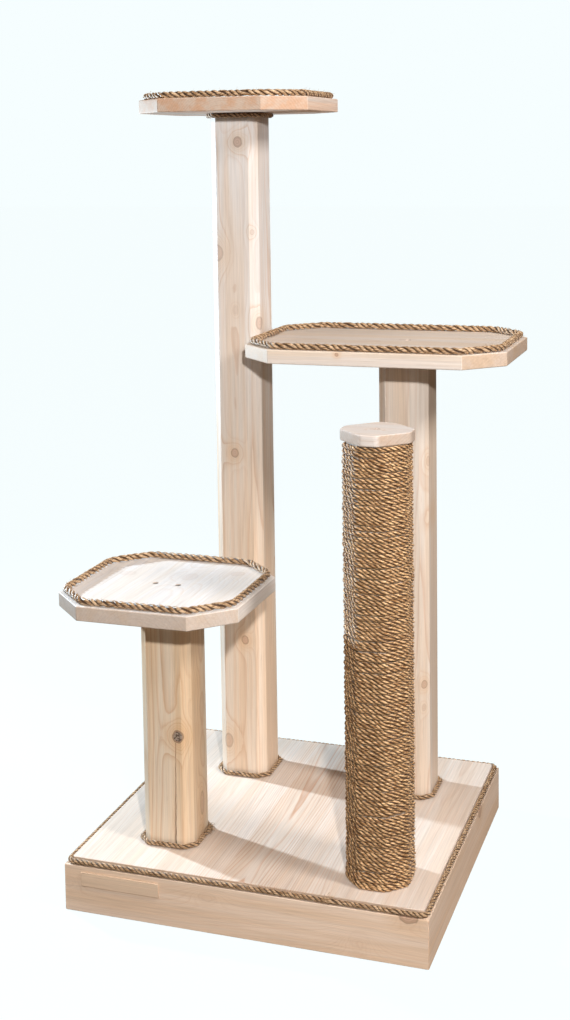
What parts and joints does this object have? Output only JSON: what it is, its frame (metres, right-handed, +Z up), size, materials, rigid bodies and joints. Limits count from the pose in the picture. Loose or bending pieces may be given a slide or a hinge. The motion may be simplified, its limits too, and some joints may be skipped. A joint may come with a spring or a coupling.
{
  "type": "cat tree",
  "caption": "Free-standing solid wood cat tree: chamfered timber posts carry clipped-corner perches edged with rope, beside a rope-wound scratching post on a framed base.",
  "frame": {"origin": "on the floor, at the centre of the base's footprint, on the underside of its middle brace", "axes": "+Z up along the posts; +X to the right and -Y to the front, as seen by someone facing the side with the blank plate"},
  "size_m": [0.6935, 0.604, 1.344],
  "materials": {
    "post_wood": "planed pale softwood, bare or thinly oiled, satin, with knots and drying checks",
    "board_wood": "sanded pale softwood board, eased edges, end grain on the ends",
    "rail_wood": "planed softwood, slightly warmer than the posts",
    "hidden_wood": "rough-sawn softwood, out of sight",
    "plate_wood": "thin smooth wooden plate, left blank",
    "trim_rope": "three-strand twisted natural manila rope, hairy",
    "wound_rope": "thin twisted natural rope, wound close",
    "screw_steel": "dull zinc-plated steel"
  },
  "bodies": {
    "root": {"base_brace_middle": "hidden_wood", "base_cleat_left": "hidden_wood", "base_cleat_right": "hidden_wood", "base_edge_rope": "trim_rope", "base_rail_back": "rail_wood", "base_rail_front": "rail_wood", "base_rail_left": "rail_wood", "base_rail_right": "rail_wood", "base_top_panel": "board_wood", "blank_plate": "plate_wood", "corner_block_back_left": "hidden_wood", "corner_block_back_right": "hidden_wood", "corner_block_front_left": "hidden_wood", "corner_block_front_right": "hidden_wood", "low_foot_ring": "trim_rope", "low_foot_screw_1": "screw_steel", "low_foot_screw_2": "screw_steel", "low_head_ring": "trim_rope", "low_perch_board": "board_wood", "low_perch_rope": "trim_rope", "low_perch_screw_1": "screw_steel", "low_perch_screw_2": "screw_steel", "low_post": "post_wood", "middle_foot_ring": "trim_rope", "middle_foot_screw_1": "screw_steel", "middle_foot_screw_2": "screw_steel", "middle_head_ring": "trim_rope", "middle_perch_board": "board_wood", "middle_perch_rope": "trim_rope", "middle_perch_screw_1": "screw_steel", "middle_post": "post_wood", "scratch_cap": "board_wood", "scratch_cap_screw": "screw_steel", "scratch_foot_screw_1": "screw_steel", "scratch_foot_screw_2": "screw_steel", "scratch_post": "post_wood", "scratch_rope_winding": "wound_rope", "tall_foot_ring": "trim_rope", "tall_foot_screw_1": "screw_steel", "tall_foot_screw_2": "screw_steel", "tall_head_ring": "trim_rope", "tall_perch_board": "board_wood", "tall_perch_rope": "trim_rope", "tall_perch_screw_1": "screw_steel", "tall_perch_screw_2": "screw_steel", "tall_post": "post_wood"}
  },
  "joints": []
}
